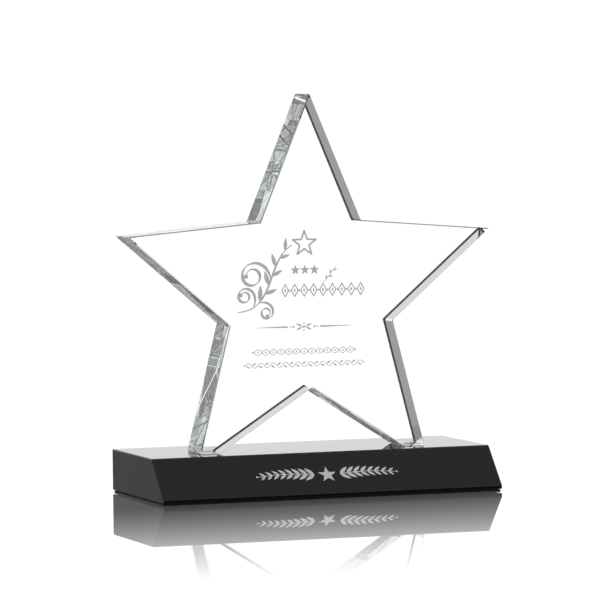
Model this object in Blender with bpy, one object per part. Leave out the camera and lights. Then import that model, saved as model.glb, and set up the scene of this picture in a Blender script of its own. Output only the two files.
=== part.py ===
"""A crystal star award: a clear star slab, stood on its two cut feet and bonded to a black glass base.

Metres, +Z up. The origin is on the resting surface, under the middle of the base. The faces that carry
the ornament look along -Y, and +X runs along the base, to the right of a person who looks at them.
"""

from math import cos, radians, sin

import bmesh
import bpy

# Star slab. Its three upper points and the four inner corners beside them are a regular star's.
STAR_THICKNESS = 0.01905
STAR_RADIUS = 0.0897
INNER_RADIUS = 0.0405
STAR_CENTRE_Z = 0.0885
NOTCH_Z = 0.0472
FOOT_OUTER_X = 0.0530
FOOT_INNER_X = 0.0433
STAR_ARRIS = 0.0005
POINT_STEP_DEG = 72.0

# Base block: a flat top and back, a front that slopes down and out, and an upright lip under it.
BASE_LENGTH = 0.15875
BASE_DEPTH = 0.0740
BASE_TOP_DEPTH = 0.0582
BASE_HEIGHT = 0.0185
LIP_HEIGHT = 0.0018
BASE_ARRIS = 0.0004

# Thin layers, and the clearance that is left between pieces that touch.
TOUCH_GAP = 0.0003
PAD_THICKNESS = 0.0006
PAD_INSET = 0.0003
PAD_CORNER_RADIUS = 0.0010
PAD_CORNER_SEGMENTS = 6
FILM_THICKNESS = 0.0002
FILM_INSET = 0.0005

# Heights that follow.
BASE_BOTTOM_Z = PAD_THICKNESS + TOUCH_GAP
BASE_TOP_Z = BASE_BOTTOM_Z + BASE_HEIGHT
FILM_BOTTOM_Z = BASE_TOP_Z + TOUCH_GAP
FOOT_Z = FILM_BOTTOM_Z + FILM_THICKNESS + TOUCH_GAP


def clear_scene():
    for obj in list(bpy.data.objects):
        bpy.data.objects.remove(obj, do_unlink=True)


def make_material(name, colour, roughness, metallic=0.0, transmission=0.0, ior=1.5):
    material = bpy.data.materials.new(name)
    material.use_nodes = True
    shader = material.node_tree.nodes["Principled BSDF"]
    shader.inputs["Base Color"].default_value = (*colour, 1.0)
    shader.inputs["Roughness"].default_value = roughness
    shader.inputs["Metallic"].default_value = metallic
    shader.inputs["Transmission Weight"].default_value = transmission
    shader.inputs["IOR"].default_value = ior
    return material


def extruded(name, outline, direction, distance, material):
    """A prism: the closed outline, a list of 3-D points, carried along direction by distance."""
    shell = bmesh.new()
    face = shell.faces.new([shell.verts.new(point) for point in outline])
    carried = bmesh.ops.extrude_face_region(shell, geom=[face])["geom"]
    moved = [item for item in carried if isinstance(item, bmesh.types.BMVert)]
    bmesh.ops.translate(shell, verts=moved, vec=[distance * part for part in direction])
    bmesh.ops.recalc_face_normals(shell, faces=shell.faces)
    mesh = bpy.data.meshes.new(name)
    shell.to_mesh(mesh)
    shell.free()
    mesh.materials.append(material)
    obj = bpy.data.objects.new(name, mesh)
    bpy.context.scene.collection.objects.link(obj)
    return obj


def add_arris(obj, width):
    """The narrow flat that a polisher puts on each sharp glass edge."""
    bevel = obj.modifiers.new("arris", "BEVEL")
    bevel.width = width
    bevel.segments = 1
    bevel.limit_method = "ANGLE"
    bevel.angle_limit = radians(20.0)
    bevel.use_clamp_overlap = True


def polar_corner(radius, steps):
    """A corner of the star, counted in half steps from its top point."""
    angle = radians(90.0 + steps * POINT_STEP_DEG / 2.0)
    return radius * cos(angle), STAR_CENTRE_Z + radius * sin(angle)


def star_outline():
    """Half of the star, from its top point down to its left foot, then the same half mirrored."""
    top = polar_corner(STAR_RADIUS, 0)
    notch = (0.0, NOTCH_Z)
    left = [
        polar_corner(INNER_RADIUS, 1),
        polar_corner(STAR_RADIUS, 2),
        polar_corner(INNER_RADIUS, 3),
        (-FOOT_OUTER_X, FOOT_Z),
        (-FOOT_INNER_X, FOOT_Z),
    ]
    right = [(-x, z) for x, z in reversed(left)]
    return [top, *left, notch, *right]


def build_star():
    crystal = make_material("clear_crystal", (0.97, 0.98, 0.98), 0.0, transmission=1.0, ior=1.52)
    front = [(x, -STAR_THICKNESS / 2.0, z) for x, z in star_outline()]
    star = extruded("crystal_star", front, (0.0, 1.0, 0.0), STAR_THICKNESS, crystal)
    add_arris(star, STAR_ARRIS)


def build_base():
    glass = make_material("black_glass", (0.004, 0.004, 0.004), 0.03)
    back_y = BASE_DEPTH / 2.0
    front_y = -BASE_DEPTH / 2.0
    top_front_y = back_y - BASE_TOP_DEPTH
    profile = [
        (back_y, BASE_BOTTOM_Z),
        (front_y, BASE_BOTTOM_Z),
        (front_y, BASE_BOTTOM_Z + LIP_HEIGHT),
        (top_front_y, BASE_TOP_Z),
        (back_y, BASE_TOP_Z),
    ]
    end = [(-BASE_LENGTH / 2.0, y, z) for y, z in profile]
    base = extruded("black_glass_base", end, (1.0, 0.0, 0.0), BASE_LENGTH, glass)
    add_arris(base, BASE_ARRIS)


def build_bond_films():
    """The cured layer of clear adhesive that holds each foot on the base."""
    adhesive = make_material("clear_adhesive", (0.95, 0.97, 0.97), 0.05, transmission=1.0, ior=1.5)
    half_depth = STAR_THICKNESS / 2.0 - FILM_INSET
    inner_x = FOOT_INNER_X + FILM_INSET
    outer_x = FOOT_OUTER_X - FILM_INSET
    for name, side in (("bond_film_left", -1.0), ("bond_film_right", 1.0)):
        outline = [
            (side * inner_x, -half_depth, FILM_BOTTOM_Z),
            (side * outer_x, -half_depth, FILM_BOTTOM_Z),
            (side * outer_x, half_depth, FILM_BOTTOM_Z),
            (side * inner_x, half_depth, FILM_BOTTOM_Z),
        ]
        extruded(name, outline, (0.0, 0.0, 1.0), FILM_THICKNESS, adhesive)


def rounded_rectangle(half_x, half_y, radius, segments):
    points = []
    for quarter, (side_x, side_y) in enumerate(((1, 1), (-1, 1), (-1, -1), (1, -1))):
        centre_x = side_x * (half_x - radius)
        centre_y = side_y * (half_y - radius)
        for step in range(segments + 1):
            angle = radians(90.0 * (quarter + step / segments))
            points.append((centre_x + radius * cos(angle), centre_y + radius * sin(angle)))
    return points


def build_felt_pad():
    felt = make_material("black_felt", (0.012, 0.012, 0.013), 0.95)
    outline = rounded_rectangle(
        BASE_LENGTH / 2.0 - PAD_INSET,
        BASE_DEPTH / 2.0 - PAD_INSET,
        PAD_CORNER_RADIUS,
        PAD_CORNER_SEGMENTS,
    )
    sole = [(x, y, 0.0) for x, y in outline]
    extruded("felt_pad", sole, (0.0, 0.0, 1.0), PAD_THICKNESS, felt)


def main():
    clear_scene()
    build_star()
    build_base()
    build_bond_films()
    build_felt_pad()


main()
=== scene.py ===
"""Looks for the crystal star award: polished star with a frosted engraving, black glass base with a silver
ornament, cured adhesive under the feet and a felt sheet under the base, on a pale studio floor.

Metres, +Z up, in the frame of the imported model. Ornament outlines are drawn flat in millimetres and then
laid on a face of the glass.
"""

from math import atan2, cos, degrees, hypot, pi, radians, sin

import bmesh
import bpy
from mathutils import Matrix, Vector, noise
from mathutils.geometry import delaunay_2d_cdt


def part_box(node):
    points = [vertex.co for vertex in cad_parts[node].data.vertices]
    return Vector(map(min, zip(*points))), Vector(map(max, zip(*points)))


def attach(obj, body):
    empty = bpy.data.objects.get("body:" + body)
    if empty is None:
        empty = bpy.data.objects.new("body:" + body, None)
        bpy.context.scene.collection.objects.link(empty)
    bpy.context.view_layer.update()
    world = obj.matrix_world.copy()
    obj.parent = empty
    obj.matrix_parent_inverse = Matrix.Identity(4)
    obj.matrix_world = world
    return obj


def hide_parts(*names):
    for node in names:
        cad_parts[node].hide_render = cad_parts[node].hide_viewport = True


MM = 0.001

# Camera, on the same side as the engraving and a little above the award.
CAMERA_AZIMUTH_DEG = -19.425
CAMERA_ELEVATION_DEG = 3.056
CAMERA_ROLL_DEG = -0.6775
CAMERA_DISTANCE = 2.0978
CAMERA_LENS_MM = 282.09
CAMERA_SENSOR_MM = 36.0
CAMERA_TARGET = Vector((-0.00218, 0.0, 0.08584))

# Studio light: colour by height above the horizon, and a dimmer wall on the side that the award faces.
SKY_STOPS = (
    (0.0, (1.1, 1.1, 1.1)),
    (0.12, (1.1, 1.1, 1.1)),
    (0.33, (0.725, 0.72, 0.715)),
    (0.62, (0.485, 0.50, 0.505)),
    (1.0, (0.42, 0.42, 0.42)),
)
WALL_BRIGHTNESS = 0.03
WALL_EDGE_COS = 0.80
WALL_CORE_COS = 0.95

# Floor: matte from above, and glossy at a glancing angle near the award. A pale haze takes over from the gloss with
# distance from the base, and later beside the base than in front of it. Seen straight or through the glass, the matte
# floor is near white with a faint glow. In reflections and to bounced light it is painted darker: painted shade for
# dark cards round the set.
FLOOR_HALF_SIZE = 30.0
FLOOR_PALE_ALBEDO = 0.9
FLOOR_PALE_GLOW = 0.22
# Albedo of the floor as reflections and bounced light see it: painted shade.
FLOOR_PAINTED_SHADE_ALBEDO = 0.59
FLOOR_GLANCE_START = 0.80
FLOOR_GLANCE_FULL = 0.885
FLOOR_HAZE_AT_BASE = 0.04
FLOOR_HAZE_SLOPE = 1.1
FLOOR_HAZE_CURVE = 7.6
FLOOR_SIDEWAYS_SHARE = 0.15
FLOOR_HAZE_BRIGHTNESS = 1.06

# Light is reflected many times between the faces of the slab before it leaves.
LIGHT_BOUNCES = 64

# Absorption of the crystal, for each metre. It shows only on light that is reflected many times inside.
CRYSTAL_ABSORPTION = 6.0

# Engraving.
FROST_DEPTH = 0.00012
FROST_SURFACE_DEPTH = 0.00008
SILVER_DEPTH = 0.00025
SILVER_SURFACE_DEPTH = 0.00005
LAYER_SIDE_GAP_MM = 0.02
LAYER_FLOOR_GAP = 0.00001
CUTTER_PROUD = 0.0004
ENGRAVING_CENTRE_X = -0.0038
DIVIDER_ABOVE_FEET = 0.0543
GARLAND_ALONG = -0.0009
GARLAND_UP = -0.0011

# Joint between the star's feet and the base.
BOND_THICKNESS = 0.0001
BOND_CLEARANCE = 0.00001
BOND_SQUEEZE_OUT = 0.00012
FOOT_EDGE_HEIGHT = 0.001

# A face of the star is its back arris when its normal's Y lies between these.
ARRIS_LEAST_Y = 0.3
ARRIS_MOST_Y = 0.95

NIB_ANGLE_DEG = 40.0


# ------------------------------------------------------------------ node materials


class Nodes:
    """Short hand for building one node tree."""

    def __init__(self, tree):
        self.tree = tree
        self.tree.nodes.clear()

    def add(self, kind, **settings):
        node = self.tree.nodes.new(kind)
        for key, value in settings.items():
            setattr(node, key, value)
        return node

    def link(self, source, target):
        self.tree.links.new(source, target)

    def value(self, socket, source):
        """Sets a socket from a number, a colour or another socket."""
        if isinstance(source, bpy.types.NodeSocket):
            self.link(source, socket)
        else:
            socket.default_value = source

    def math(self, operation, *inputs, clamp=False):
        node = self.add("ShaderNodeMath", operation=operation, use_clamp=clamp)
        for socket, source in zip(node.inputs, inputs):
            self.value(socket, source)
        return node.outputs[0]

    def vector_math(self, operation, *inputs):
        node = self.add("ShaderNodeVectorMath", operation=operation)
        for socket, source in zip(node.inputs, inputs):
            self.value(socket, source)
        return node

    def map_range(self, source, low, high, to_low, to_high, smooth=True):
        node = self.add("ShaderNodeMapRange")
        node.interpolation_type = "SMOOTHSTEP" if smooth else "LINEAR"
        for key, item in (("Value", source), ("From Min", low), ("From Max", high)):
            self.value(node.inputs[key], item)
        self.value(node.inputs["To Min"], to_low)
        self.value(node.inputs["To Max"], to_high)
        return node.outputs["Result"]

    def noise(self, vector, scale, detail=3.0, roughness=0.5):
        node = self.add("ShaderNodeTexNoise")
        self.link(vector, node.inputs["Vector"])
        node.inputs["Scale"].default_value = scale
        node.inputs["Detail"].default_value = detail
        node.inputs["Roughness"].default_value = roughness
        return node.outputs["Fac"]

    def mix_colour(self, factor, first, second):
        node = self.add("ShaderNodeMix", data_type="RGBA")
        self.value(node.inputs[0], factor)
        self.value(node.inputs[6], first)
        self.value(node.inputs[7], second)
        return node.outputs[2]

    def bump(self, height, strength, distance):
        node = self.add("ShaderNodeBump")
        node.inputs["Strength"].default_value = strength
        node.inputs["Distance"].default_value = distance
        self.link(height, node.inputs["Height"])
        return node.outputs["Normal"]


def principled(name, **settings):
    """A material with one Principled BSDF. Returns the material, its nodes, the shader and object coordinates."""
    material = bpy.data.materials.new(name)
    material.use_nodes = True
    nodes = Nodes(material.node_tree)
    shader = nodes.add("ShaderNodeBsdfPrincipled")
    output = nodes.add("ShaderNodeOutputMaterial")
    nodes.link(shader.outputs["BSDF"], output.inputs["Surface"])
    for key, value in settings.items():
        nodes.value(shader.inputs[key.replace("_", " ")], value)
    coordinates = nodes.add("ShaderNodeTexCoord").outputs["Object"]
    return material, nodes, shader, coordinates


def output_of(material):
    return next(node for node in material.node_tree.nodes if node.type == "OUTPUT_MATERIAL")


def crystal_material():
    """Polished optical crystal. The polish leaves a waviness far too slight to blur what is seen through it."""
    material, nodes, shader, place = principled("clear_crystal", IOR=1.52)
    shader.inputs["Base Color"].default_value = (0.985, 0.992, 0.99, 1.0)
    shader.inputs["Transmission Weight"].default_value = 1.0
    shader.inputs["Roughness"].default_value = 0.0
    wave = nodes.noise(place, 55.0, 1.0)
    nodes.link(nodes.bump(wave, 0.0006, 0.0004), shader.inputs["Normal"])
    absorption = nodes.add("ShaderNodeVolumeAbsorption")
    absorption.inputs["Color"].default_value = (0.90, 0.935, 0.94, 1.0)
    absorption.inputs["Density"].default_value = CRYSTAL_ABSORPTION
    nodes.link(absorption.outputs[0], output_of(material).inputs["Volume"])
    return material


def arris_material():
    """The narrow edge flats at the back of the star, fine-ground and painted near black: painted shade for the dark
    edge lines. Light inside the glass ends on them.
    """
    material, nodes, shader, place = principled("painted_shade_arris", IOR=1.52)
    grain = nodes.noise(place, 5000.0, 3.0, 0.6)
    # Near-black colour: painted shade for the dark lines along the back edges.
    colour = nodes.mix_colour(grain, (0.001, 0.001, 0.001, 1.0), (0.012, 0.012, 0.012, 1.0))
    nodes.link(colour, shader.inputs["Base Color"])
    nodes.link(nodes.map_range(grain, 0.3, 0.7, 0.22, 0.42), shader.inputs["Roughness"])
    return material


def front_arris_material():
    """The edge flats at the front, fine-ground and then flame-polished, with a grey transmission colour: painted shade
    that dims what is seen through them, for the dark edge lines.
    """
    material, nodes, shader, place = principled("polished_arris_painted_shade", IOR=1.52)
    shader.inputs["Transmission Weight"].default_value = 1.0
    grain = nodes.noise(place, 3000.0, 2.0, 0.6)
    # Grey transmission colour: painted shade along the front edges.
    colour = nodes.mix_colour(grain, (0.12, 0.12, 0.12, 1.0), (0.22, 0.22, 0.22, 1.0))
    nodes.link(colour, shader.inputs["Base Color"])
    nodes.link(nodes.map_range(grain, 0.3, 0.7, 0.0, 0.04), shader.inputs["Roughness"])
    return material


def frosted_material():
    """The etched floor of the engraving: fine-grained, grey-white and matt."""
    material, nodes, shader, place = principled("frosted_engraving", IOR=1.5)
    grain = nodes.noise(place, 9000.0, 4.0, 0.6)
    patches = nodes.noise(place, 700.0, 2.0)
    shade = nodes.math("ADD", nodes.math("MULTIPLY", grain, 0.6), nodes.math("MULTIPLY", patches, 0.4))
    colour = nodes.mix_colour(shade, (0.68, 0.69, 0.695, 1.0), (0.88, 0.89, 0.895, 1.0))
    nodes.link(colour, shader.inputs["Base Color"])
    nodes.link(nodes.map_range(grain, 0.3, 0.7, 0.7, 0.95), shader.inputs["Roughness"])
    nodes.link(nodes.bump(grain, 0.35, 0.00004), shader.inputs["Normal"])
    return material


def black_glass_material(name, low_gloss, high_gloss, specular):
    """Opaque black glass with a faint unevenness in its polish."""
    material, nodes, shader, place = principled(name, IOR=1.5)
    shader.inputs["Specular IOR Level"].default_value = specular
    smear = nodes.noise(place, 38.0, 5.0, 0.62)
    specks = nodes.noise(place, 1400.0, 2.0)
    nodes.link(nodes.map_range(smear, 0.35, 0.75, low_gloss, high_gloss), shader.inputs["Roughness"])
    tone = nodes.map_range(specks, 0.62, 0.78, 0.0, 1.0)
    colour = nodes.mix_colour(tone, (0.0022, 0.0022, 0.0023, 1.0), (0.006, 0.006, 0.006, 1.0))
    nodes.link(colour, shader.inputs["Base Color"])
    nodes.link(nodes.bump(smear, 0.006, 0.0002), shader.inputs["Normal"])
    return material


def silver_material():
    """Pale silver paint wiped into the engraving, with a fine metallic grain."""
    material, nodes, shader, place = principled("silver_fill", IOR=1.5)
    flake = nodes.noise(place, 6000.0, 2.0, 0.7)
    wipe = nodes.noise(place, 240.0, 3.0)
    shade = nodes.math("ADD", nodes.math("MULTIPLY", flake, 0.55), nodes.math("MULTIPLY", wipe, 0.45))
    colour = nodes.mix_colour(shade, (0.80, 0.80, 0.81, 1.0), (0.97, 0.97, 0.97, 1.0))
    nodes.link(colour, shader.inputs["Base Color"])
    shader.inputs["Metallic"].default_value = 0.15
    nodes.link(nodes.map_range(flake, 0.3, 0.7, 0.38, 0.6), shader.inputs["Roughness"])
    nodes.link(nodes.bump(flake, 0.3, 0.00003), shader.inputs["Normal"])
    return material


def adhesive_material():
    """Clear cured adhesive, with a few very small trapped bubbles showing as a change in its surface."""
    material, nodes, shader, place = principled("clear_adhesive", IOR=1.48)
    shader.inputs["Base Color"].default_value = (0.97, 0.98, 0.98, 1.0)
    shader.inputs["Transmission Weight"].default_value = 1.0
    bubbles = nodes.noise(place, 1800.0, 1.0)
    nodes.link(nodes.map_range(bubbles, 0.6, 0.72, 0.02, 0.16), shader.inputs["Roughness"])
    nodes.link(nodes.bump(bubbles, 0.15, 0.00005), shader.inputs["Normal"])
    return material


def felt_material():
    """Pressed black felt: matted fibres with a soft sheen."""
    material, nodes, shader, place = principled("black_felt", IOR=1.45)
    shader.inputs["Sheen Weight"].default_value = 0.08
    shader.inputs["Sheen Roughness"].default_value = 0.6
    shader.inputs["Roughness"].default_value = 0.95
    fibre = nodes.noise(place, 2600.0, 6.0, 0.7)
    clump = nodes.noise(place, 260.0, 3.0)
    shade = nodes.math("MULTIPLY", fibre, clump)
    colour = nodes.mix_colour(shade, (0.002, 0.002, 0.002, 1.0), (0.014, 0.014, 0.015, 1.0))
    nodes.link(colour, shader.inputs["Base Color"])
    nodes.link(nodes.bump(fibre, 0.8, 0.0002), shader.inputs["Normal"])
    return material


# ------------------------------------------------------------------ flat ornament shapes, in millimetres


def dot(centre, radius, sides=16):
    corners = [2.0 * pi * index / sides for index in range(sides)]
    return [[(centre[0] + radius * cos(a), centre[1] + radius * sin(a)) for a in corners]]


def lozenge(centre, half_width, half_height):
    x, y = centre
    return [[(x + half_width, y), (x, y + half_height), (x - half_width, y), (x, y - half_height)]]


def small_star(centre, radius, inner_share=0.42):
    outline = []
    for index in range(10):
        reach = radius if index % 2 == 0 else radius * inner_share
        angle = radians(90.0 + 36.0 * index)
        outline.append((centre[0] + reach * cos(angle), centre[1] + reach * sin(angle)))
    return [outline]


def leaf(root, heading_deg, length, width, steps=8):
    """A pointed leaf that grows from root along heading, widest a little before its middle."""
    along = (cos(radians(heading_deg)), sin(radians(heading_deg)))
    across = (-along[1], along[0])
    upper = []
    lower = []
    for index in range(steps + 1):
        share = index / steps
        reach = length * share
        half = 0.5 * width * sin(pi * share**0.85)
        x = root[0] + along[0] * reach
        y = root[1] + along[1] * reach
        upper.append((x + across[0] * half, y + across[1] * half))
        lower.append((x - across[0] * half, y - across[1] * half))
    return [lower + upper[-2:0:-1]]


def stroke(points, half_widths):
    """A ribbon along points, as one four-sided piece for each step."""
    sides = []
    for index, (x, y) in enumerate(points):
        before = points[max(index - 1, 0)]
        after = points[min(index + 1, len(points) - 1)]
        run = (after[0] - before[0], after[1] - before[1])
        size = hypot(*run)
        normal = (-run[1] / size, run[0] / size)
        half = half_widths[index]
        left = (x + normal[0] * half, y + normal[1] * half)
        right = (x - normal[0] * half, y - normal[1] * half)
        sides.append((left, right))
    return [[a[0], a[1], b[1], b[0]] for a, b in zip(sides, sides[1:])]


def pen_widths(points, thin, thick, taper_start=0.12, taper_end=0.2):
    """Half widths of a stroke drawn with a broad nib held at NIB_ANGLE_DEG, and lifted at its two ends."""
    widths = []
    last = len(points) - 1
    for index in range(len(points)):
        before = points[max(index - 1, 0)]
        after = points[min(index + 1, last)]
        heading = atan2(after[1] - before[1], after[0] - before[0])
        press = abs(sin(heading - radians(NIB_ANGLE_DEG)))
        share = index / last
        lift = min(1.0, share / taper_start, (1.0 - share) / taper_end)
        widths.append(0.5 * (thin + (thick - thin) * press * max(lift, 0.0)))
    return widths


def curl(start, heading_deg, length, bend_start, bend_end, steps=44):
    """Points of a curl whose bend, in degrees for each millimetre, goes evenly from bend_start to bend_end."""
    x, y = start
    heading = radians(heading_deg)
    step = length / steps
    points = [(x, y)]
    for index in range(steps):
        bend = bend_start + (bend_end - bend_start) * (index + 0.5) / steps
        heading += radians(bend) * step
        x += cos(heading) * step
        y += sin(heading) * step
        points.append((x, y))
    return points


def sweep(start, lead_out, lead_in, end, steps=30):
    """A Bezier curve from start to end, pulled by its two inner points."""
    points = []
    for index in range(steps + 1):
        t = index / steps
        weights = ((1 - t) ** 3, 3 * t * (1 - t) ** 2, 3 * t * t * (1 - t), t**3)
        x = sum(w * p[0] for w, p in zip(weights, (start, lead_out, lead_in, end)))
        y = sum(w * p[1] for w, p in zip(weights, (start, lead_out, lead_in, end)))
        points.append((x, y))
    return points


def heading_at(points, index):
    before = points[max(index - 1, 0)]
    after = points[min(index + 1, len(points) - 1)]
    return degrees(atan2(after[1] - before[1], after[0] - before[0]))


def scroll(start, heading_deg, length, bend_start, bend_end, thick, ball):
    """A curl with a nib-drawn width and a ball where it ends."""
    points = curl(start, heading_deg, length, bend_start, bend_end)
    return stroke(points, pen_widths(points, 0.36, thick)) + dot(points[-1], ball)


def moved(shapes, x, y):
    return [[(px + x, py + y) for px, py in shape] for shape in shapes]


def mirrored(shapes):
    return [[(-px, py) for px, py in reversed(shape)] for shape in shapes]


# ------------------------------------------------------------------ ornaments


def open_star(centre, radius, width, inner_share=0.40):
    outline = small_star(centre, radius, inner_share)[0]
    shapes = []
    for a, b in zip(outline, outline[1:] + outline[:1]):
        shapes += stroke([a, b], [width / 2, width / 2]) + dot(a, width / 2, 10)
    return shapes


def emblem():
    """A laurel branch that rises to an open star, with three curled tendrils."""
    stem = sweep((-31.0, 7.2), (-13.0, 7.5), (-17.5, 30.0), (-5.2, 36.4), 48)
    shapes = stroke(stem, pen_widths(stem, 0.45, 1.5, 0.3, 0.25))
    shapes += open_star((0.6, 36.9), 5.8, 0.80)
    for order in range(7):
        index = 13 + 5 * order
        side = 1.0 if order % 2 == 0 else -1.0
        length = (7.4 if side > 0 else 6.4) - 0.25 * order
        shapes += leaf(stem[index], heading_at(stem, index) + 40.0 * side, length, 0.30 * length)
    shapes += scroll(stem[8], heading_at(stem, 8) + 30, 30.0, 6.0, 30.0, 1.3, 0.95)
    shapes += scroll(stem[26], heading_at(stem, 26) + 26, 44.0, 5.0, 19.0, 1.5, 1.05)
    shapes += scroll(stem[12], heading_at(stem, 12) - 26, 26.0, -7.0, -34.0, 1.2, 0.9)
    return shapes


def star_row():
    """Three small stars, and a thin sprig after them."""
    shapes = []
    for index in range(3):
        shapes += small_star((-3.8 + 4.5 * index, 25.2), 2.45, 0.40)
    sprig = sweep((9.2, 19.6), (11.5, 20.8), (12.6, 23.6), (15.4, 26.4), 16)
    shapes += stroke(sprig, pen_widths(sprig, 0.26, 0.42))
    for index, side in ((4, 1.0), (7, -1.0), (10, 1.0), (13, -1.0)):
        shapes += leaf(sprig[index], heading_at(sprig, index) + 42.0 * side, 2.2, 0.75, 6)
    return shapes


def lozenge_band(first_x, y, pitch, count):
    """Open lozenges with a bead in each, joined by smaller solid ones."""
    shapes = []
    for index in range(count):
        x = first_x + pitch * index
        corners = [(x + 1.6, y), (x, y + 2.75), (x - 1.6, y), (x, y - 2.75), (x + 1.6, y)]
        for a, b in zip(corners, corners[1:]):
            shapes += stroke([a, b], [0.25, 0.25])
        for corner in corners[:4]:
            shapes += dot(corner, 0.25, 10)
        shapes += lozenge((x, y), 0.5, 0.95)
        if index < count - 1:
            shapes += lozenge((x + pitch / 2, y), 0.36, 0.8)
    return shapes


def divider(half_length):
    """A rule that swells towards the middle, beads, and a small lozenge between two pairs of leaves."""
    half = []
    rule = [(-half_length + (half_length - 7.7) * index / 8, 0.0) for index in range(9)]
    half += stroke(rule, [0.10 + 0.30 * index / 8 for index in range(9)])
    for x, radius in ((-6.7, 0.26), (-5.8, 0.34), (-4.8, 0.44)):
        half += dot((x, 0.0), radius, 12)
    for side in (1.0, -1.0):
        half += leaf((-0.9, 0.18 * side), 180.0 - 24.0 * side, 3.1, 0.85, 8)
    shapes = half + mirrored(half) + lozenge((0.0, 0.0), 1.0, 0.62)
    for side in (1.0, -1.0):
        shapes += dot((0.0, 1.5 * side), 0.36, 12)
    return shapes


def wave(half_length, y, height, crossings, turn):
    """A fine wave that crosses its middle line the given number of times."""
    steps = crossings * 8
    points = []
    for index in range(steps + 1):
        share = index / steps
        x = half_length * (2.0 * share - 1.0)
        points.append((x, y + turn * height * sin(pi * crossings * share)))
    return stroke(points, [0.15] * len(points))


def twist_band(half_length, y, crossings):
    """Two waves wound round each other, with a bead in each eye."""
    height = 1.25
    shapes = wave(half_length, y, height, crossings, 1.0) + wave(half_length, y, height, crossings, -1.0)
    pitch = 2.0 * half_length / crossings
    for index in range(crossings):
        shapes += lozenge((-half_length + pitch * (index + 0.5), y), 0.38, 0.62)
    for side in (1.0, -1.0):
        shapes += dot((side * (half_length + 0.5), y), 0.42, 12)
    return shapes


def vine_band(half_length, y, crossings):
    """One wave with a small leaf in each of its hollows."""
    shapes = wave(half_length, y, 1.05, crossings, 1.0)
    pitch = 2.0 * half_length / crossings
    for index in range(crossings):
        side = -1.0 if index % 2 == 0 else 1.0
        x = -half_length + pitch * (index + 0.12)
        shapes += leaf((x, y + 0.1 * side), 28.0 * side, 2.3, 0.72, 6)
    for side in (1.0, -1.0):
        shapes += dot((side * (half_length + 0.4), y), 0.38, 12)
    return shapes


def star_engraving():
    """All of the star's engraving, about the middle of its divider."""
    shapes = emblem() + star_row()
    shapes += lozenge_band(-8.6, 16.2, 4.45, 9)
    shapes += divider(22.2)
    shapes += twist_band(23.6, -10.9, 13)
    shapes += vine_band(27.8, -16.7, 19)
    return shapes


def laurel_garland(half_length):
    """A star between two laurel sprays, whose leaves get smaller outwards."""
    half = []
    inner = 6.0
    stem = [(inner + (half_length - inner) * index / 24, 0.9 * sin(pi * index / 24)) for index in range(25)]
    half += stroke(stem, [0.28 - 0.12 * index / 24 for index in range(25)])
    half += dot((half_length + 0.7, 0.0), 0.55, 12)
    for index in range(0, 24, 3):
        shrink = 1.0 - 0.45 * index / 24
        heading = heading_at(stem, index)
        for side in (1.0, -1.0):
            half += leaf(stem[index], heading + 38.0 * side, 5.6 * shrink, 1.8 * shrink)
    return half + mirrored(half) + small_star((0.0, -0.2), 4.5, 0.40)


# ------------------------------------------------------------------ meshes


def link_object(name, mesh, *materials):
    for material in materials:
        mesh.materials.append(material)
    obj = bpy.data.objects.new(name, mesh)
    bpy.context.scene.collection.objects.link(obj)
    return obj


def flat_union(shapes):
    """One flat mesh, in millimetres, that covers what any of the overlapping outlines covers."""
    points = []
    faces = []
    for shape in shapes:
        faces.append(list(range(len(points), len(points) + len(shape))))
        points += [Vector(point) for point in shape]
    result = delaunay_2d_cdt(points, [], faces, 0, 1e-4, True)
    corners, _, triangles, _, _, sources = result
    flat = bmesh.new()
    made = [flat.verts.new((x, y, 0.0)) for x, y in corners]
    for triangle, source in zip(triangles, sources):
        if source:
            flat.faces.new([made[index] for index in triangle])
    loose = [vert for vert in flat.verts if not vert.link_faces]
    bmesh.ops.delete(flat, geom=loose, context="VERTS")
    bmesh.ops.recalc_face_normals(flat, faces=flat.faces)
    return flat


def slab_of(flat, low, high, onto):
    """The flat mesh made into a slab from low to high (metres, along the face's normal), laid on a face."""
    solid = flat.copy()
    for face in solid.faces:
        if face.normal.z < 0.0:
            face.normal_flip()
    bottom = list(solid.faces)
    result = bmesh.ops.extrude_face_region(solid, geom=bottom, use_keep_orig=True)["geom"]
    raised = {item for item in result if isinstance(item, bmesh.types.BMVert)}
    for vert in solid.verts:
        vert.co = (vert.co.x * MM, vert.co.y * MM, high if vert in raised else low)
    bmesh.ops.recalc_face_normals(solid, faces=solid.faces)
    solid.transform(onto)
    mesh = bpy.data.meshes.new("slab")
    solid.to_mesh(mesh)
    solid.free()
    return mesh


def carve(obj, cutter_mesh, cut_material):
    """Cuts a recess with the cutter. The recess takes the cutter's material."""
    cutter = link_object("cutter", cutter_mesh, cut_material)
    modifier = obj.modifiers.new("engraving", "BOOLEAN")
    modifier.operation = "DIFFERENCE"
    modifier.solver = "EXACT"
    modifier.material_mode = "TRANSFER"
    modifier.object = cutter
    graph = bpy.context.evaluated_depsgraph_get()
    carved = bpy.data.meshes.new_from_object(obj.evaluated_get(graph))
    obj.modifiers.clear()
    obj.data = carved
    bpy.data.objects.remove(cutter, do_unlink=True)


def copy_of_node(name, node, *materials):
    """A new piece that starts from a CAD node's shape and stands for it."""
    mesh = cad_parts[node].data.copy()
    mesh.materials.clear()
    piece = link_object(name, mesh, *materials)
    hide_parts(node)
    return piece


def engraved_face(axis_x, axis_y, origin):
    """The matrix that lays a flat drawing on a face, with its normal pointing out of the glass."""
    axis_z = axis_x.cross(axis_y)
    matrix = Matrix((axis_x, axis_y, axis_z)).transposed().to_4x4()
    matrix.translation = origin
    return matrix


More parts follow.
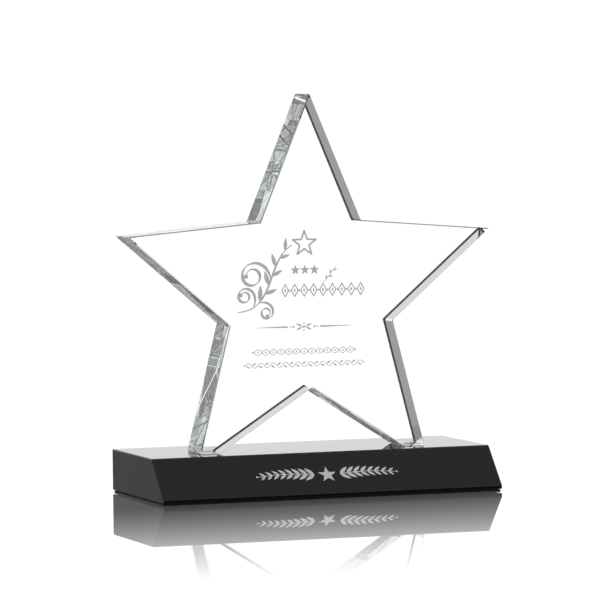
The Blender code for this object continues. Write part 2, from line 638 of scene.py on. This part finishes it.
def recess_and_layer(piece, name, shapes, face, depth, top_depth, glass, filling):
    """Cuts the drawing into the glass, and lays a thin piece of another material on the floor of the cut."""
    drawing = flat_union(shapes)
    carve(piece, slab_of(drawing, -depth, CUTTER_PROUD, face), glass)
    inset = bmesh.ops.inset_region(drawing, faces=drawing.faces, thickness=LAYER_SIDE_GAP_MM)
    bmesh.ops.delete(drawing, geom=inset["faces"], context="FACES")
    layer_mesh = slab_of(drawing, -depth + LAYER_FLOOR_GAP, -top_depth, face)
    drawing.free()
    return link_object(name, layer_mesh, filling)


def build_star():
    crystal = crystal_material()
    low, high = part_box("crystal_star")
    star = copy_of_node("engraved_star", "crystal_star", crystal, arris_material(), front_arris_material())
    drop = low.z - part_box("black_glass_base")[1].z - BOND_THICKNESS
    for vertex in star.data.vertices:
        if vertex.co.z < low.z + FOOT_EDGE_HEIGHT:
            vertex.co.z -= drop
    for polygon in star.data.polygons:
        at_foot = polygon.center.z < low.z + FOOT_EDGE_HEIGHT
        if at_foot or not ARRIS_LEAST_Y < abs(polygon.normal.y) < ARRIS_MOST_Y:
            continue
        # Back edge flats get the near-black painted-shade material, front ones the grey-tinted glass whose tint is
        # painted shade.
        if polygon.normal.y > 0.0:
            polygon.material_index = 1
        elif polygon.normal.z > 0.0:
            polygon.material_index = 2
    origin = Vector((ENGRAVING_CENTRE_X, low.y, low.z + DIVIDER_ABOVE_FEET))
    face = engraved_face(Vector((1, 0, 0)), Vector((0, 0, 1)), origin)
    frost = recess_and_layer(
        star, "frosted_engraving", star_engraving(), face, FROST_DEPTH, FROST_SURFACE_DEPTH, crystal, frosted_material()
    )
    for piece, slot in ((star, "clear_crystal"), (frost, "frosted_engraving")):
        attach(piece, "root")


def front_slope():
    """The middle of the base's sloping front, and the directions along it and up it."""
    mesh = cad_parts["black_glass_base"].data
    sloping = [f for f in mesh.polygons if f.normal.y < -0.3 and 0.3 < f.normal.z and f.area > 1e-4]
    normal = max(sloping, key=lambda f: f.area).normal.copy()
    corners = [mesh.vertices[i].co for f in sloping for i in f.vertices]
    low = min(corners, key=lambda c: c.z)
    high = max(corners, key=lambda c: c.z)
    middle = Vector((0.0, (low.y + high.y) / 2, (low.z + high.z) / 2))
    return middle, Vector((1, 0, 0)), normal.cross(Vector((1, 0, 0)))


def build_base():
    polished = black_glass_material("black_glass", 0.0, 0.012, 0.5)
    ground = black_glass_material("black_glass_ground", 0.43, 0.46, 0.09)
    silver = silver_material()
    base = copy_of_node("engraved_base", "black_glass_base", polished, ground)
    for polygon in base.data.polygons:
        if max(abs(polygon.normal.x), abs(polygon.normal.y)) > 0.95:
            polygon.material_index = 1
    middle, along, up = front_slope()
    face = engraved_face(along, up, middle + up * GARLAND_UP + along * GARLAND_ALONG)
    paint = recess_and_layer(
        base, "silver_ornament", laurel_garland(32.0), face, SILVER_DEPTH, SILVER_SURFACE_DEPTH, polished, silver_material()
    )
    for piece, slot in ((base, "black_glass"), (paint, "silver_fill")):
        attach(piece, "root")


def rounded_rectangle(half_x, half_y, radius, steps):
    points = []
    for quarter, (side_x, side_y) in enumerate(((1, 1), (-1, 1), (-1, -1), (1, -1))):
        for step in range(steps + 1):
            angle = radians(90.0 * (quarter + step / steps))
            x = side_x * (half_x - radius) + radius * cos(angle)
            y = side_y * (half_y - radius) + radius * sin(angle)
            points.append((x, y))
    return points


def lofted(name, rings, material):
    """A closed solid through rings of equally many points, capped at both ends."""
    solid = bmesh.new()
    made = [[solid.verts.new(point) for point in ring] for ring in rings]
    count = len(rings[0])
    for lower, upper in zip(made, made[1:]):
        for index in range(count):
            after = (index + 1) % count
            solid.faces.new((lower[index], lower[after], upper[after], upper[index]))
    solid.faces.new(list(reversed(made[0])))
    solid.faces.new(made[-1])
    bmesh.ops.recalc_face_normals(solid, faces=solid.faces)
    mesh = bpy.data.meshes.new(name)
    solid.to_mesh(mesh)
    solid.free()
    mesh.shade_smooth()
    mesh.set_sharp_from_angle(angle=radians(40))
    return link_object(name, mesh, material)


def build_adhesive():
    """A thin cured film in the joint under each foot, with a very small fillet where it was squeezed out."""
    material = adhesive_material()
    base_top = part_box("black_glass_base")[1].z
    for side in ("left", "right"):
        node = "bond_film_" + side
        low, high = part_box(node)
        centre = (low + high) / 2
        rings = []
        for index in range(5):
            share = index / 4
            grow = -0.0001 + (BOND_SQUEEZE_OUT + 0.0001) * (1.0 - share) ** 2.2
            z = base_top + BOND_CLEARANCE + (BOND_THICKNESS - 2 * BOND_CLEARANCE) * share
            half_x = (high.x - low.x) / 2 + grow
            half_y = (high.y - low.y) / 2 + grow
            outline = rounded_rectangle(half_x, half_y, 0.0009, 6)
            rings.append([(centre.x + x, centre.y + y, z) for x, y in outline])
        piece = lofted("adhesive_" + side, rings, material)
        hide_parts(node)
        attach(piece, "root")


def build_felt():
    """The cut felt sheet. Its edge is a little ragged and bulges slightly between its faces."""
    material = felt_material()
    low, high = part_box("felt_pad")
    corners = rounded_rectangle(high.x, high.y, 0.001, 4)
    edge = []
    for a, b in zip(corners, corners[1:] + corners[:1]):
        pieces = max(1, round(hypot(b[0] - a[0], b[1] - a[1]) / 0.0012))
        edge += [(a[0] + (b[0] - a[0]) * i / pieces, a[1] + (b[1] - a[1]) * i / pieces) for i in range(pieces)]
    rings = []
    for height, tuck in ((0.0, 0.00012), (0.25, 0.00004), (0.6, 0.0), (0.88, 0.00004), (1.0, 0.00016)):
        ring = []
        for x, y in edge:
            ragged = 0.00016 * (0.5 + 0.5 * noise.noise(Vector((x, y, height * 0.0006)) * 900.0))
            scale_x = 1.0 - (tuck + ragged) / high.x
            scale_y = 1.0 - (tuck + ragged) / high.y
            ring.append((x * scale_x, y * scale_y, low.z + (high.z - low.z) * height))
        rings.append(ring)
    felt = lofted("felt_sheet", rings, material)
    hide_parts("felt_pad")
    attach(felt, "root")


# ------------------------------------------------------------------ studio


def build_floor():
    solid = bmesh.new()
    bmesh.ops.create_grid(solid, x_segments=1, y_segments=1, size=FLOOR_HALF_SIZE)
    mesh = bpy.data.meshes.new("studio_floor")
    solid.to_mesh(mesh)
    solid.free()
    material = bpy.data.materials.new("studio_floor")
    material.use_nodes = True
    nodes = Nodes(material.node_tree)
    low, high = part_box("black_glass_base")
    place = nodes.add("ShaderNodeNewGeometry").outputs["Position"]
    size = nodes.vector_math("ABSOLUTE", place).outputs[0]
    past = nodes.vector_math("SUBTRACT", size, (high.x, high.y, 10.0)).outputs[0]
    past = nodes.vector_math("MAXIMUM", past, (0.0, 0.0, 0.0)).outputs[0]
    past = nodes.vector_math("MULTIPLY", past, (FLOOR_SIDEWAYS_SHARE, 1.0, 0.0)).outputs[0]
    distance = nodes.vector_math("LENGTH", past).outputs["Value"]
    rate = nodes.math("MULTIPLY_ADD", distance, FLOOR_HAZE_CURVE, FLOOR_HAZE_SLOPE)
    haze_share = nodes.math("MULTIPLY_ADD", distance, rate, FLOOR_HAZE_AT_BASE, clamp=True)
    facing = nodes.add("ShaderNodeLayerWeight")
    facing.inputs["Blend"].default_value = 0.5
    glance = nodes.map_range(facing.outputs["Facing"], FLOOR_GLANCE_START, FLOOR_GLANCE_FULL, 0.0, 1.0)
    pale = nodes.add("ShaderNodeBsdfDiffuse")
    pale.inputs["Color"].default_value = (*[FLOOR_PALE_ALBEDO] * 3, 1.0)
    glow = nodes.add("ShaderNodeEmission")
    glow.inputs["Strength"].default_value = FLOOR_PALE_GLOW
    lit = nodes.add("ShaderNodeAddShader")
    nodes.link(pale.outputs[0], lit.inputs[0])
    nodes.link(glow.outputs[0], lit.inputs[1])
    # Darker floor seen in reflections and by bounced light: painted shade standing in for dark cards round the set.
    reflected = nodes.add("ShaderNodeBsdfDiffuse")
    reflected.inputs["Color"].default_value = (*[FLOOR_PAINTED_SHADE_ALBEDO] * 3, 1.0)
    # Rays that have already turned off a glossy or diffuse surface get the painted-shade floor.
    path = nodes.add("ShaderNodeLightPath")
    turns = nodes.math("ADD", path.outputs["Glossy Depth"], path.outputs["Diffuse Depth"])
    matte = nodes.add("ShaderNodeMixShader")
    nodes.link(nodes.math("GREATER_THAN", turns, 0.5), matte.inputs[0])
    nodes.link(lit.outputs[0], matte.inputs[1])
    nodes.link(reflected.outputs[0], matte.inputs[2])
    gloss = nodes.add("ShaderNodeBsdfGlossy")
    gloss.inputs["Color"].default_value = (1.0, 1.0, 1.0, 1.0)
    gloss.inputs["Roughness"].default_value = 0.0
    haze = nodes.add("ShaderNodeEmission")
    haze.inputs["Strength"].default_value = FLOOR_HAZE_BRIGHTNESS
    glancing = nodes.add("ShaderNodeMixShader")
    nodes.link(haze_share, glancing.inputs[0])
    nodes.link(gloss.outputs[0], glancing.inputs[1])
    nodes.link(haze.outputs[0], glancing.inputs[2])
    surface = nodes.add("ShaderNodeMixShader")
    nodes.link(glance, surface.inputs[0])
    nodes.link(matte.outputs[0], surface.inputs[1])
    nodes.link(glancing.outputs[0], surface.inputs[2])
    output = nodes.add("ShaderNodeOutputMaterial")
    nodes.link(surface.outputs[0], output.inputs["Surface"])
    floor = link_object("studio_floor", mesh, material)


def build_world():
    world = bpy.data.worlds.new("studio")
    bpy.context.scene.world = world
    world.use_nodes = True
    nodes = Nodes(world.node_tree)
    direction = nodes.add("ShaderNodeTexCoord").outputs["Generated"]
    parts = nodes.add("ShaderNodeSeparateXYZ")
    nodes.link(direction, parts.inputs[0])
    ramp = nodes.add("ShaderNodeValToRGB")
    ramp.color_ramp.interpolation = "LINEAR"
    stops = ramp.color_ramp.elements
    while len(stops) < len(SKY_STOPS):
        stops.new(0.5)
    for stop, (height, colour) in zip(stops, SKY_STOPS):
        stop.position = height
        stop.color = (*colour, 1.0)
    nodes.link(parts.outputs["Z"], ramp.inputs[0])
    towards_wall = nodes.math("MULTIPLY", parts.outputs["Y"], -1.0)
    wall = nodes.map_range(towards_wall, WALL_EDGE_COS, WALL_CORE_COS, 1.0, WALL_BRIGHTNESS)
    background = nodes.add("ShaderNodeBackground")
    nodes.link(ramp.outputs["Color"], background.inputs["Color"])
    nodes.link(wall, background.inputs["Strength"])
    output = nodes.add("ShaderNodeOutputWorld")
    nodes.link(background.outputs[0], output.inputs["Surface"])


def build_camera():
    azimuth = radians(CAMERA_AZIMUTH_DEG)
    elevation = radians(CAMERA_ELEVATION_DEG)
    back = Vector((sin(azimuth) * cos(elevation), -cos(azimuth) * cos(elevation), sin(elevation)))
    right = Vector((cos(azimuth), sin(azimuth), 0.0))
    rolled = Matrix.Rotation(radians(CAMERA_ROLL_DEG), 3, back)
    right = rolled @ right
    up = back.cross(right)
    data = bpy.data.cameras.new("camera")
    data.lens = CAMERA_LENS_MM
    data.sensor_width = CAMERA_SENSOR_MM
    data.clip_end = 100.0
    camera = bpy.data.objects.new("camera", data)
    camera.matrix_world = Matrix((right, up, back)).transposed().to_4x4()
    camera.location = CAMERA_TARGET + back * CAMERA_DISTANCE
    bpy.context.scene.collection.objects.link(camera)
    bpy.context.scene.camera = camera


def set_light_paths():
    scene = bpy.context.scene
    scene.view_settings.view_transform = "Standard"
    scene.cycles.max_bounces = LIGHT_BOUNCES
    scene.cycles.transmission_bounces = LIGHT_BOUNCES
    scene.cycles.glossy_bounces = LIGHT_BOUNCES


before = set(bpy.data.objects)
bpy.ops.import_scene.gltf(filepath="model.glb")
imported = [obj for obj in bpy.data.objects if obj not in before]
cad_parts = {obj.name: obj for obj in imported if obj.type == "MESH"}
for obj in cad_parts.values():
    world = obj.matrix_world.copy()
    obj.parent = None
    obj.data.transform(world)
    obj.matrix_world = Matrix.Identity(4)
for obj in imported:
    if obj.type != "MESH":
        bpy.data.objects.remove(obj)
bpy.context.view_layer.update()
build_camera()
build_world()
build_floor()
set_light_paths()
build_star()
build_base()
build_adhesive()
build_felt()
